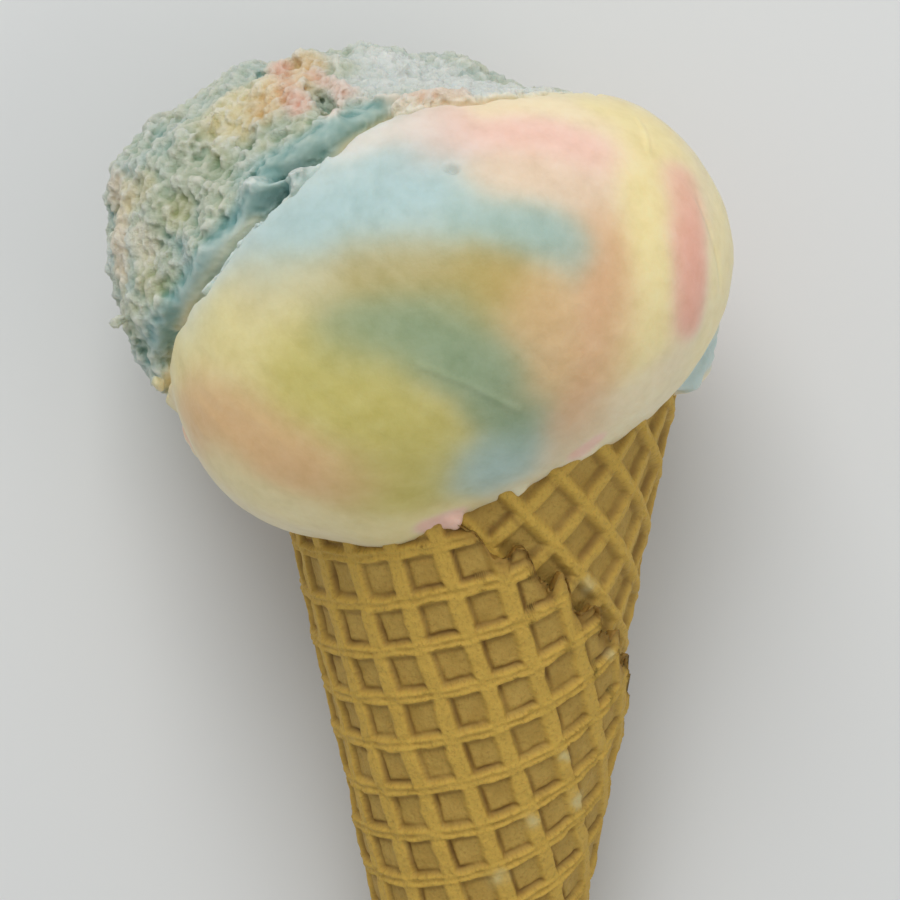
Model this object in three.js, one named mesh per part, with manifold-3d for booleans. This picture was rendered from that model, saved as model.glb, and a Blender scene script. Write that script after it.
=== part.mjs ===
// An ice cream cone lying on a table: a round waffle wafer rolled into a sugar cone, with one
// large scoop of swirled ice cream pressed into its mouth.
// Millimetres, +Z up. The cone points along -Y and the side that shows best is up.
// The origin is the middle of the small flat spot on which the scoop rests.

import * as THREE from 'three';
import { mergeVertices } from 'three/addons/utils/BufferGeometryUtils.js';
import Module from 'manifold-3d';

const wasm = await Module();
wasm.setup();

const DEGREE = Math.PI / 180;
const CLEARANCE = 0.3;                  // between the wafer and the ice cream

// The wafer: a round disc rolled about a point of its own edge. Angles go round the cone's axis,
// 0 facing up and + to the right; the roll goes on past a full turn, so an angle names one place
// on the sheet, and the same angle less 360 lies one turn further in.
const DISC_DIAMETER = 147;
const HALF_ANGLE = 10.52 * DEGREE;      // half of the cone's opening angle
const DISC_MIDDLE = -34.3 * DEGREE;     // where the disc's diameter lies in the flat sheet
const FLAP_START = -8;                  // the sheet's edge leaves the rim here
const FLAP_END = 250;                   // and runs round and down to the tip by here
const TIP_SLANT = 16;                   // the rounded tip starts this far from the true apex
const HOLLOW_SLANT = 30;                // and the hollow inside starts here
const SHEET_THICKNESS = 2.2;
const TURN_RISE = 1.4;                  // each turn of the roll lies this much further out
const PRESSED_SLANT = 60;               // nearer the tip than this the turns are pressed together
const CONE_TILT = 12.59 * DEGREE;       // the axis rises towards the scoop
const CONE_COLUMNS = 20;
const TIP_ROWS = [0, 0.3, 0.6, 0.85, 1]; // from the tip's very end to where the straight side starts
const HOLLOW_ROUNDING = 2;
const FLAP_LEAD = 1.5;                  // the flap's solid starts this many columns early
const FLAP_BURIED = 0.15;               // and there it lies just under the inner turn
const FLAP_ROOT = 0.5;                  // and it reaches this deep into the inner turn all along
const FLAP_FIRST_ROW = 4;               // its outer face starts this far past the tip

// The waffle pattern: a square grid of ridges round sunken squares, straight in the flat sheet.
const WAFFLE_PITCH = 5.72;
const WAFFLE_TURN = -16.8 * DEGREE;     // direction of the first ridges in the flat sheet
const WAFFLE_START_U = 116.9;           // a ridge crosses them this far from the apex
const WAFFLE_START_W = 8.26;
const POCKET_DEPTH = 0.85;
const POCKET_MOUTH = 4.6;
const POCKET_FLOOR = 3.4;
const POCKET_MARGIN = 1.1;              // a pocket this near an edge of the sheet is left out
const POCKET_OVERSHOOT = 0.45;
const FIRST_POCKET_SLANT = 40;
const INNER_SHIFT_U = -2.6;             // the pattern's slip on the inner turn, seen at the right
const INNER_SHIFT_W = -0.6;
const SLIP_FROM = -90;
const SLIP_TO = -290;

// The scoop: rounded lobes run together. Middles are measured from the cone's apex in plan and
// from the table in height. turn is the long side's angle in plan, and square above 2 makes a
// lobe fuller than an ellipsoid.
const CORE = { middle: [-6.3, 140.3, 29.0], half: [28.5, 23.5, 29.8], turn: 12, square: 2.1, facets: 6 };
const FRONT = { middle: [-2.0, 136.5, 36.0], half: [32.2, 21.6, 25.5], turn: 26, square: 2.2, facets: 8 };
const LIP = { middle: [-5.5, 125.8, 41.0], half: [13.0, 15.0, 12.5], turn: 15, square: 2, facets: 5 };
const BACK = { middle: [-13.7, 145.1, 23.0], half: [29.1, 23.7, 21.6], turn: 2.5, square: 2.2, facets: 8 };
const SKIRT = { middle: [4.0, 140.0, 24.5], half: [23.5, 15.0, 24.0], turn: 0, square: 2.2, facets: 6 };
const LUMP = { middle: [-21.3, 162.0, 32.0], half: [7.0, 5.0, 7.0], turn: 15, square: 2, facets: 4 };
const HANGING = { middle: [24.0, 131.2, 30.0], half: [3.0, 5.5, 4.5], turn: -15, square: 2, facets: 4 };
// The deep groove between the smooth body and the torn part, along the top of the ball.
const GROOVE_ROUTE = [[-9, 162, 46], [-14.5, 155, 51.5], [-21.5, 147.5, 53], [-29.5, 139, 47.5], [-36, 130.5, 33]];
const GROOVE_RADIUS = 2.0;
const GROOVE_SIDES = 8;
const GROOVE_STEPS = 14;
const CRUMB_HEIGHT = 1.0;
const CRUMB_SPACING = 9;
const PLUG_SLANT = 104;                 // the ice cream reaches down to here inside the wafer
const PLUG_SIDES = 40;
const TABLE_SIDE = 200;                 // the table, which presses the scoop's resting spot flat
const TABLE_DEPTH = 20;

const WAFER_COLOUR = 0xb08a3e;
const ICE_CREAM_COLOUR = 0xc9cfae;

const clamp = (value, low, high) => Math.min(high, Math.max(low, value));

// Closed geometries and solids

// Merges shared points and drops the faces that this leaves without area, as at a pole.
function closedGeometry(geometry) {
  const bare = geometry.clone();
  bare.deleteAttribute('normal');
  bare.deleteAttribute('uv');
  const merged = mergeVertices(bare, 1e-4);
  const corners = merged.index.array;
  const kept = [];
  for (let i = 0; i < corners.length; i += 3) {
    const [a, b, c] = [corners[i], corners[i + 1], corners[i + 2]];
    if (a !== b && b !== c && c !== a) kept.push(a, b, c);
  }
  merged.setIndex(kept);
  return merged;
}

function solidFrom(geometry) {
  const closed = closedGeometry(geometry);
  return new wasm.Manifold(new wasm.Mesh({
    numProp: 3,
    vertProperties: new Float32Array(closed.attributes.position.array),
    triVerts: new Uint32Array(closed.index.array),
  }));
}

function geometryFrom(solid) {
  const mesh = solid.getMesh();
  const geometry = new THREE.BufferGeometry();
  geometry.setAttribute('position', new THREE.BufferAttribute(new Float32Array(mesh.vertProperties), 3));
  geometry.setIndex(new THREE.BufferAttribute(new Uint32Array(mesh.triVerts), 1));
  geometry.computeVertexNormals();
  return geometry;
}

function joined(solids) {
  return solids.reduce((whole, solid) => whole.add(solid));
}

function largestPiece(solid) {
  return solid.decompose().sort((one, other) => other.volume() - one.volume())[0];
}

// The rolled wafer, standing on its apex with the axis along +Y and angle 0 facing +Z

// Distance from the apex to the disc's edge. It is the rim on the inner turn and the flap's
// free edge on the outer one.
function edgeSlant(angle) {
  const flatAngle = angle * DEGREE * Math.sin(HALF_ANGLE);
  return DISC_DIAMETER * Math.cos(flatAngle - DISC_MIDDLE);
}

// How far out the sheet's face lies from the plain cone.
function rollOffset(angle, slant) {
  return TURN_RISE * clamp(slant / PRESSED_SLANT, 0, 1) * angle / 360;
}

function conePoint(angle, slant, offset) {
  const radius = slant * Math.sin(HALF_ANGLE) + offset * Math.cos(HALF_ANGLE);
  const along = slant * Math.cos(HALF_ANGLE) - offset * Math.sin(HALF_ANGLE);
  return [radius * Math.sin(angle * DEGREE), along, radius * Math.cos(angle * DEGREE)];
}

function geometryFromColumns(columns, faces) {
  const geometry = new THREE.BufferGeometry();
  const positions = new Float32Array(columns.flat(2));
  geometry.setAttribute('position', new THREE.BufferAttribute(positions, 3));
  geometry.setIndex(faces);
  return geometry;
}

// Quads between neighbouring columns of points, as pairs of triangles that face outwards.
function skin(columnCount, rowCount, columnsClose, rowsClose) {
  const faces = [];
  for (let column = 0; column < columnCount - (columnsClose ? 0 : 1); column += 1) {
    const here = column * rowCount;
    const next = ((column + 1) % columnCount) * rowCount;
    for (let row = 0; row < rowCount - (rowsClose ? 0 : 1); row += 1) {
      const above = (row + 1) % rowCount;
      faces.push(here + row, next + row, next + above);
      faces.push(here + row, next + above, here + above);
    }
  }
  return faces;
}

// The tip is a ball that the cone's side meets without a corner.
function tipRows(angle) {
  const radius = TIP_SLANT * Math.tan(HALF_ANGLE);
  const middle = TIP_SLANT / Math.cos(HALF_ANGLE);
  const swell = rollOffset(angle, TIP_SLANT);
  return TIP_ROWS.map((part) => {
    const lean = part * (90 * DEGREE - HALF_ANGLE);
    const out = (radius + swell * part) * Math.sin(lean);
    const along = middle - radius * Math.cos(lean);
    return [out * Math.sin(angle * DEGREE), along, out * Math.cos(angle * DEGREE)];
  });
}

// One turn of columns round the cone, from the flap's start. outline(angle) is a column's points.
function ringSolid(outline, rowsClose) {
  const columns = [];
  for (let column = 0; column < CONE_COLUMNS; column += 1) {
    columns.push(outline(FLAP_START - 360 + 360 * column / CONE_COLUMNS));
  }
  return solidFrom(geometryFromColumns(columns, skin(columns.length, columns[0].length, true, rowsClose)));
}

// The inner turn goes once round, from the tip up the outer face and down into the hollow.
function innerTurn() {
  return ringSolid((angle) => {
    const outer = (slant) => conePoint(angle, slant, rollOffset(angle, slant));
    const inner = (slant) => conePoint(angle, slant, rollOffset(angle, slant) - SHEET_THICKNESS);
    const rim = edgeSlant(angle);
    const hollowEnd = [0, HOLLOW_SLANT * Math.cos(HALF_ANGLE) - HOLLOW_ROUNDING, 0];
    return [...tipRows(angle), outer(PRESSED_SLANT), outer(rim),
      inner(rim), inner(PRESSED_SLANT), inner(HOLLOW_SLANT), hollowEnd];
  }, false);
}

// The room that the ice cream leaves for the wafer.
function waferRoom() {
  return ringSolid((angle) => {
    const outer = (slant) => conePoint(angle, slant, 2 * CLEARANCE);
    const inner = (slant) => conePoint(angle, slant, rollOffset(angle, slant) - SHEET_THICKNESS - CLEARANCE);
    const rim = edgeSlant(angle) + 2 * CLEARANCE;
    return [outer(PRESSED_SLANT), outer(rim), inner(rim), inner(PRESSED_SLANT)];
  }, true);
}

// The flap is the roll's last part, lying over the inner turn and ending in the free edge.
function outerFlap() {
  const columns = [];
  const step = 360 / CONE_COLUMNS;
  for (let angle = FLAP_START - FLAP_LEAD * step; angle <= FLAP_END; angle += step) {
    const edge = edgeSlant(angle);
    const outer = (slant) => {
      const reached = Math.min(slant, edge);
      return conePoint(angle, reached, rollOffset(angle, reached) - FLAP_BURIED);
    };
    const under = (slant, depth) => {
      const reached = Math.min(slant, edge);
      return conePoint(angle, reached, rollOffset(angle - 360, reached) - depth);
    };
    columns.push([under(TIP_SLANT, FLAP_ROOT), outer(TIP_SLANT + FLAP_FIRST_ROW), outer(PRESSED_SLANT), outer(edge),
      under(edge, FLAP_ROOT), under(PRESSED_SLANT, FLAP_ROOT)]);
  }
  const rowCount = columns[0].length;
  const faces = skin(columns.length, rowCount, false, true);
  const last = (columns.length - 1) * rowCount;
  for (let row = 1; row < rowCount - 1; row += 1) {
    faces.push(0, row, row + 1);
    faces.push(last, last + row + 1, last + row);
  }
  return solidFrom(geometryFromColumns(columns, faces));
}

// A place in the flat sheet, from the waffle's own two directions.
function sheetPlace(u, w) {
  const angle = (WAFFLE_TURN + Math.atan2(w, u)) / Math.sin(HALF_ANGLE) / DEGREE;
  const slip = THREE.MathUtils.smoothstep(-angle, -SLIP_FROM, -SLIP_TO);
  const slippedU = u + INNER_SHIFT_U * slip;
  const slippedW = w + INNER_SHIFT_W * slip;
  return {
    angle: (WAFFLE_TURN + Math.atan2(slippedW, slippedU)) / Math.sin(HALF_ANGLE) / DEGREE,
    slant: Math.hypot(slippedU, slippedW),
  };
}

function showsOnRoll({ angle, slant }) {
  return slant > FIRST_POCKET_SLANT
    && slant < edgeSlant(angle) - POCKET_MARGIN
    && slant > edgeSlant(angle + 360) + POCKET_MARGIN
    && angle < FLAP_END;
}

// One sunken square, as the solid to be cut away.
function pocket(u, w) {
  const geometry = new THREE.BoxGeometry(1, 1, 1);
  const points = geometry.attributes.position;
  for (let i = 0; i < points.count; i += 1) {
    const high = points.getZ(i) > 0;
    const width = high ? POCKET_MOUTH : POCKET_FLOOR;
    const place = sheetPlace(u + points.getX(i) * width, w - points.getY(i) * width);
    const offset = rollOffset(place.angle, place.slant) + (high ? POCKET_OVERSHOOT : -POCKET_DEPTH);
    points.setXYZ(i, ...conePoint(place.angle, place.slant, offset));
  }
  return solidFrom(geometry);
}

function pockets() {
  const cells = [];
  const half = POCKET_MOUTH / 2;
  const reach = Math.ceil(DISC_DIAMETER / WAFFLE_PITCH) + 1;
  for (let row = -reach; row <= reach; row += 1) {
    for (let column = -reach; column <= reach; column += 1) {
      const u = WAFFLE_START_U + (row + 0.5) * WAFFLE_PITCH;
      const w = WAFFLE_START_W + (column + 0.5) * WAFFLE_PITCH;
      const corners = [[-half, -half], [half, -half], [half, half], [-half, half]];
      const shows = corners.every(([du, dw]) => showsOnRoll(sheetPlace(u + du, w + dw)));
      if (shows) cells.push(pocket(u, w));
    }
  }
  return cells;
}

// The scoop

// Uneven ground as on torn ice cream, from -1 to 1.
function crumbs(x, y, z) {
  const k = 2 * Math.PI / CRUMB_SPACING;
  const wide = Math.sin(k * (x + 0.4 * y)) * Math.sin(k * (y - 0.3 * z) + 1) + Math.sin(k * (z + 0.5 * x) + 2);
  const fine = Math.sin(1.9 * k * (y + 0.2 * x)) * Math.sin(2.1 * k * (z - 0.4 * y) + 0.7);
  return (wide + 0.6 * fine) / 2.6;
}

function lobe({ middle, half, turn, square, facets }, crumbHeight = 0) {
  const geometry = closedGeometry(new THREE.IcosahedronGeometry(1, facets));
  const points = geometry.attributes.position;
  const placed = new THREE.Matrix4().makeRotationZ(turn * DEGREE).setPosition(...middle);
  const point = new THREE.Vector3();
  for (let i = 0; i < points.count; i += 1) {
    point.fromBufferAttribute(points, i);
    const powers = [point.x, point.y, point.z].map((side) => Math.abs(side) ** square);
    point.multiplyScalar((powers[0] + powers[1] + powers[2]) ** (-1 / square));
    point.multiply(new THREE.Vector3(...half));
    const relief = crumbHeight * crumbs(point.x, point.y, point.z);
    point.multiplyScalar(1 + relief / point.length());
    point.applyMatrix4(placed);
    points.setXYZ(i, point.x, point.y, point.z);
  }
  return solidFrom(geometry);
}

// The ice cream inside the wafer's mouth, a little too wide until the wafer's space is cut away.
function plug() {
  const length = FRONT.middle[1] - PLUG_SLANT;
  const low = PLUG_SLANT * Math.tan(HALF_ANGLE) - SHEET_THICKNESS / 2;
  const high = (PLUG_SLANT + length) * Math.tan(HALF_ANGLE) - SHEET_THICKNESS / 2;
  const geometry = new THREE.CylinderGeometry(high, low, length, PLUG_SIDES);
  geometry.translate(0, PLUG_SLANT + length / 2, 0);
  return geometry;
}

function groove() {
  const route = new THREE.CatmullRomCurve3(GROOVE_ROUTE.map((place) => new THREE.Vector3(...place)));
  const section = new THREE.Shape();
  for (let side = 0; side < GROOVE_SIDES; side += 1) {
    const angle = 2 * Math.PI * side / GROOVE_SIDES;
    const corner = [GROOVE_RADIUS * Math.cos(angle), GROOVE_RADIUS * Math.sin(angle)];
    if (side === 0) section.moveTo(...corner);
    else section.lineTo(...corner);
  }
  section.closePath();
  return new THREE.ExtrudeGeometry(section, { steps: GROOVE_STEPS, extrudePath: route, bevelEnabled: false });
}

// Assembly

const wafer = innerTurn().add(outerFlap()).subtract(joined(pockets()));
const waferGeometry = geometryFrom(largestPiece(wafer));

// The cone lies with its tip on the table.
const lying = new THREE.Matrix4().makeRotationX(CONE_TILT);
const tipped = waferGeometry.clone().applyMatrix4(lying);
tipped.computeBoundingBox();
const apex = new THREE.Vector3(0, 0, -tipped.boundingBox.min.z);
lying.setPosition(apex);

const smoothLobes = [CORE, FRONT, LIP, SKIRT, HANGING].map((shape) => lobe(shape));
const tornLobes = [BACK, LUMP].map((shape) => lobe(shape, CRUMB_HEIGHT));
const scoop = joined([...smoothLobes, ...tornLobes, solidFrom(plug().applyMatrix4(lying))]);
const room = solidFrom(geometryFrom(waferRoom()).applyMatrix4(lying));
const table = new THREE.BoxGeometry(TABLE_SIDE, TABLE_SIDE, TABLE_DEPTH);
table.translate(CORE.middle[0], CORE.middle[1], -TABLE_DEPTH / 2);
const iceCream = scoop.subtract(room).subtract(solidFrom(groove())).subtract(solidFrom(table));

const cone = new THREE.Mesh(
  waferGeometry,
  new THREE.MeshStandardMaterial({ color: WAFER_COLOUR, roughness: 0.75, metalness: 0 }),
);
cone.name = 'wafer_cone';
cone.rotation.x = CONE_TILT;
cone.position.copy(apex);

const ball = new THREE.Mesh(
  geometryFrom(largestPiece(iceCream)),
  new THREE.MeshStandardMaterial({ color: ICE_CREAM_COLOUR, roughness: 0.45, metalness: 0 }),
);
ball.name = 'ice_cream';

// Everything is moved so that the resting spot's middle is the origin.
const iceCreamCone = new THREE.Group();
iceCreamCone.position.set(-CORE.middle[0], -CORE.middle[1], 0);
iceCreamCone.add(cone, ball);

export default iceCreamCone;
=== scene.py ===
import math

import bmesh
import bpy
import numpy as np
from mathutils import Euler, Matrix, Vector


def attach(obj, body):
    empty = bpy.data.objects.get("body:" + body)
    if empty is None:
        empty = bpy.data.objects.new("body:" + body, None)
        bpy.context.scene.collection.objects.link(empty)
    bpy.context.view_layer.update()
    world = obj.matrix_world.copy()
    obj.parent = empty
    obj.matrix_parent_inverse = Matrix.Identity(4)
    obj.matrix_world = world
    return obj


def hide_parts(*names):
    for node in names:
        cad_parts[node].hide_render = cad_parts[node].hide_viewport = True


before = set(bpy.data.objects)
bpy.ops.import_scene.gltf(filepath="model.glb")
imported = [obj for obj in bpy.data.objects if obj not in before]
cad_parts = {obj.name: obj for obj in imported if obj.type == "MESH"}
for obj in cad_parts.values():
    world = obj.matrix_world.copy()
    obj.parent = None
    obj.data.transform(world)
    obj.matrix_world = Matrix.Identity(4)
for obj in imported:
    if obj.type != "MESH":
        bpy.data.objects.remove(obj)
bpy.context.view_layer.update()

# The view
# The cone lies on a table and is looked at from straight above, with the scoop at the top of
# the picture. Lengths in this file are millimetres until a mesh or an object is made.
MM = 0.001
EYE = (3.72, -18.53, 313.3)
EYE_TURN = -0.787        # degrees

eye_data = bpy.data.cameras.new("view_from_above")
eye_data.sensor_width = 36
eye_data.lens = 100
eye = bpy.data.objects.new("view_from_above", eye_data)
bpy.context.scene.collection.objects.link(eye)
eye.location = [side * MM for side in EYE]
eye.rotation_euler = (0, 0, math.radians(EYE_TURN))
bpy.context.scene.camera = eye

# The rolled wafer
# A thin round waffle, baked in a square-patterned iron and rolled hot into a cone about a point
# of its own edge. The roll goes round one and three quarter times, so the disc's edge shows
# twice: as the slanting rim, and as the free edge of the outer turn that winds down to the tip.
DISC = 147.0             # across the flat waffle
HALF_ANGLE = math.radians(10.52)
DISC_MIDDLE = math.radians(-34.3)
CONE_TILT = math.radians(12.59)
APEX = np.array([6.3, -140.3, -0.64])
TURN_RISE = 1.4          # each turn lies this much further out
PRESSED_SLANT = 60.0     # nearer the tip than this the turns are pressed together
SHEET_THICKNESS = 1.5
TIP_SLANT = 16.0
FIRST_ANGLE = -374.0     # where the sheet comes out from under its own outer turn
LAST_ANGLE = 266.0
UNDERLAP = 9.0           # the inner turn goes on this far under the outer one
WAFFLE_PITCH = 5.72
WAFFLE_TURN = math.radians(-16.8)
WAFFLE_START = (116.9, 8.26)
INNER_SHIFT = (-2.6, -0.6)          # the grid runs on a little out of step on the inner turn
POCKET_DEPTH = 0.66      # the sunken squares lie this much below the bars
NIBBLED_PART = 0.03      # the share of the outer rows of points that the small nibbles move
BROKEN_PART = 0.13       # the share that the bars' broken ends move
SEAM_ANGLE = -112.0      # the mesh of the outer turn starts here
SEAM_OVERLAP = 1.5       # and the inner turn's mesh runs on under it this far
OUTER_ROWS = 500         # points from the start of the sheet to its broken edge
INNER_ROWS = 200
FINE_STEP = 0.6          # degrees between columns of points where the cone faces up
COARSE_STEP = 1.2
FACING_UP = 115.0        # degrees to each side of straight up
LOWEST = 0.02            # what would lie lower rests on the table
NOISE_TURN = np.array(Euler((0.6, 0.9, 0.4)).to_matrix())


def hashed(cells, seed):
    """A repeatable number from 0 to 1 for each cell of a grid, mixed with the usual large primes."""
    cells = cells.astype(np.int64)
    mixed = cells[..., 0] * 73856093 ^ cells[..., 1] * 19349663 ^ cells[..., 2] * 83492791 ^ seed * 2654435
    for turn in (1274126177, 1103515245):
        mixed = ((mixed ^ (mixed >> 13)) & 0x7FFFFFFF) * turn & 0x7FFFFFFF
    return ((mixed >> 8) & 0xFFFF) / 0xFFFF


def noise(points, size, seed):
    """Smooth unevenness from -1 to 1, in lumps of the given size. Each seed gives other lumps."""
    place = points @ NOISE_TURN / size
    cell = np.floor(place)
    part = place - cell
    part = part * part * (3 - 2 * part)
    total = np.zeros(len(points))
    for corner in np.ndindex(2, 2, 2):
        weight = np.prod(np.where(corner, part, 1 - part), axis=-1)
        total += weight * hashed(cell + corner, seed)
    return 2 * total - 1


def rising(value, low, high):
    """0 below low, 1 above high, smooth in between. high may be the smaller one."""
    part = np.clip((value - low) / (high - low), 0, 1)
    return part * part * (3 - 2 * part)


def sheet_points(angle, slant):
    """Places in the flat sheet, as noise needs them: millimetres, with the turn as the third."""
    flat = np.radians(angle) * math.sin(HALF_ANGLE) - WAFFLE_TURN
    return np.stack([slant * np.cos(flat), slant * np.sin(flat), np.zeros_like(slant)], -1)


def bar_gaps(angle, place):
    """How far a place in the sheet lies from the nearest cross bar, and from the nearest long bar."""
    slip = rising(-angle, 90, 290)
    gaps = []
    for side in range(2):
        wander = 0.16 * noise(place, 6.0, 21 + side) + 0.1 * noise(place, 1.7, 23 + side)
        line = place[:, side] - INNER_SHIFT[side] * slip + wander - WAFFLE_START[side] + WAFFLE_PITCH / 2
        gaps.append(line % WAFFLE_PITCH - WAFFLE_PITCH / 2)
    return gaps


def disc_slant(angle):
    """From the apex to the whole disc's edge."""
    return DISC * np.cos(np.radians(angle) * math.sin(HALF_ANGLE) - DISC_MIDDLE)


def bitten_slant(angle):
    """From the apex to the broken edge: the cross bars' ends stick out, the squares broke off."""
    place = sheet_points(angle, disc_slant(angle))
    bar_end = 1 - rising(np.abs(bar_gaps(angle, place)[0]), 0.5, 2.0)
    spread = 0.35 + 0.65 * rising(angle, -4, 14)
    return disc_slant(angle) + 0.4 * noise(place, 4.6, 11) + spread * (0.1 + 2.5 * bar_end)


def edge_slant(angle):
    """The broken edge with its small nibbles."""
    place = sheet_points(angle, disc_slant(angle))
    return bitten_slant(angle) + 0.6 * noise(place, 1.7, 12) + 0.45 * noise(place, 0.9, 13)


def roll_offset(angle, slant):
    return TURN_RISE * np.clip(slant / PRESSED_SLANT, 0, 1) * angle / 360


def waffle(angle, place):
    """Height of the bars, from 0 in the sunken squares to 1, and the crevices beside them: painted shade
    with some browning.

    On the outer turn the bars are flat bands, and the cross bars carry two thin lines. On the
    inner turn they are rounded. The limits given to rising are millimetres from a bar's middle.
    """
    cross, long = bar_gaps(angle, place)
    worn = 0.75 + 0.6 * noise(place, 2.4, 25)
    chipped = 0.2 * noise(place, 1.9, 26) + 0.12 * noise(place, 0.9, 27)
    wide, tall = np.abs(cross) + chipped, long + chipped * np.sign(long)
    cross_bar = 0.8 * (1 - rising(wide, 0.5, 0.95)) + 0.24 * np.exp(-((np.abs(cross) - 0.46) / 0.18) ** 2)
    cross_bar = cross_bar - 0.16 * np.exp(-(cross / 0.2) ** 2)
    long_bar = 0.86 * (1 - np.where(long > 0, rising(tall, 0.8, 1.15), rising(-tall, 0.65, 1.5)))
    outer = np.maximum(cross_bar, long_bar)
    # Painted shade: dark lines in the pockets beside one side of each long bar and above and below the cross
    # bars, with some browning. The inner turn's lines follow below.
    beside_long = np.exp(-((long - 1.25) / 0.25) ** 2) * rising(np.abs(cross), 0.7, 1.1)
    above_cross = np.exp(-((cross - 1.12) / 0.25) ** 2) * rising(np.abs(long), 0.8, 1.2)
    below_cross = 0.5 * np.exp(-((cross + 1.1) / 0.2) ** 2) * rising(np.abs(long), 0.8, 1.2)
    outer_crevice = np.maximum(np.maximum(beside_long, above_cross), below_cross)
    round_cross = 1 - rising(np.abs(cross), 0.25, 1.45)
    round_long = 1 - rising(np.abs(long), 0.4, 1.35)
    inner = 1.5 * np.maximum(round_cross, 0.85 * round_long) - 0.5
    inner_crevice = 0.8 * np.exp(-((long + 1.15) / 0.4) ** 2) * rising(np.abs(cross), 0.6, 1.3)
    inner_crevice = np.maximum(inner_crevice, 0.5 * np.exp(-((cross + 1.25) / 0.3) ** 2))
    share = rising(-angle, 120, 230)
    crevice = (outer_crevice + (inner_crevice - outer_crevice) * share) * np.clip(worn, 0.15, 1.2)
    crest = outer + (inner - outer) * share - 0.42 * outer_crevice * (1 - share) * worn
    return crest, crevice, np.abs(cross)


def cone_points(angle, slant, offset):
    """Places on the lying cone, in the part's frame."""
    turn = np.radians(angle)
    out = slant * math.sin(HALF_ANGLE) + offset * math.cos(HALF_ANGLE)
    along = slant * math.cos(HALF_ANGLE) - offset * math.sin(HALF_ANGLE)
    x, y, z = out * np.sin(turn), along, out * np.cos(turn)
    lying_y = y * math.cos(CONE_TILT) - z * math.sin(CONE_TILT)
    lying_z = y * math.sin(CONE_TILT) + z * math.cos(CONE_TILT)
    return np.stack([x, lying_y, lying_z], -1) + APEX


def skin_faces(columns, rows, columns_close=False):
    """Quads of a skin whose rows close on themselves."""
    strips = columns if columns_close else columns - 1
    column, row = np.meshgrid(np.arange(strips), np.arange(rows), indexing="ij")
    here, beside = column * rows, (column + 1) % columns * rows
    above = (row + 1) % rows
    return np.stack([here + row, beside + row, beside + above, here + above], -1).reshape(-1, 4)


def outward(points, faces):
    """The quads, turned round if they make the skin's volume negative."""
    corners = points[faces]
    middle = corners.mean(1)
    spread = np.cross(corners[:, 2] - corners[:, 0], corners[:, 3] - corners[:, 1])
    return faces if (middle * spread).sum() > 0 else faces[:, ::-1]


def rolled_stretch(angles, row_count):
    """One stretch of the sheet as a closed skin: the outer face, the broken edge, the inner face."""
    edge = edge_slant(angles)
    whole, bitten = disc_slant(angles), bitten_slant(angles)
    under = disc_slant(np.minimum(angles + 360, LAST_ANGLE + 20)) - UNDERLAP
    in_tip = TIP_SLANT - 0.5
    start = np.where(angles + 360 > LAST_ANGLE, in_tip, np.maximum(under, in_tip))
    start = np.minimum(start, whole - 4)
    rows = np.linspace(0, 1, row_count)
    slants = start[:, None] + (whole - start)[:, None] * rows
    slants = slants + (bitten - whole)[:, None] * rising(rows, 1 - BROKEN_PART, 1)
    slants = slants + (edge - bitten)[:, None] * rising(rows, 1 - NIBBLED_PART, 1)
    wide = np.repeat(angles[:, None], row_count, 1)
    angle, slant = wide.ravel(), slants.ravel()
    place = sheet_points(angle, slant)
    crest, crevice, across = waffle(angle, place)
    to_edge = (edge[:, None] - slants).ravel()
    grain = 0.07 * noise(place, 0.9, 31) + 0.05 * noise(place, 0.45, 32) + 0.18 * noise(place, 5.0, 33)
    grain = grain + 0.12 * noise(place, 2.2, 37)
    fibres = 0.16 * noise(place * [1.0, 0.3, 1.0], 0.42, 34) * (1 - rising(across, 0.6, 1.3))
    fray = rising(to_edge, 1.2, 0) * (0.25 + 0.2 * noise(place, 0.9, 35))
    outer = roll_offset(angle, slant) - POCKET_DEPTH * (1 - crest) + grain + fibres - fray
    edge_rows = []
    for part in (0.25, 0.5, 0.75):
        depth = roll_offset(angles, edge) - SHEET_THICKNESS * part
        ragged = edge + 0.5 * noise(sheet_points(angles, edge) + [0, 0, 2 * part], 0.7, 36)
        ragged = ragged + 0.25 * (part < 0.6) - 0.2 * (part > 0.3)
        edge_rows.append((angles, ragged, depth))
    inner_rows = []
    for part in np.linspace(1, 0, 8):
        back = start + (edge - start) * part
        inner_rows.append((angles, back, roll_offset(angles, back) - SHEET_THICKNESS))
    columns = len(angles)
    grid = [cone_points(angle, slant, outer).reshape(columns, row_count, 3)]
    grid += [cone_points(*row)[:, None, :] for row in edge_rows + inner_rows]
    points = np.concatenate(grid, 1)
    extra = len(edge_rows) + len(inner_rows)
    sheet = np.concatenate([place.reshape(columns, row_count, 3)]
                           + [sheet_points(row[0], row[1])[:, None, :] for row in edge_rows + inner_rows], 1)
    sheet[..., 2] = np.concatenate([wide, np.repeat(angles[:, None], extra, 1)], 1) / 360
    bare = np.zeros((columns, extra))
    # The crevice values are painted shade, with some browning.
    crests, painted_crevice_shade, edges = [np.concatenate([kept.reshape(columns, row_count), bare], 1).ravel()
                            for kept in (crest, crevice, to_edge)]
    count = row_count + extra
    faces = skin_faces(columns, count)
    caps = [list(range(count)), list(range((columns - 1) * count, columns * count))]
    return points.reshape(-1, 3), faces, caps, sheet.reshape(-1, 3), crests, painted_crevice_shade, edges


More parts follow.
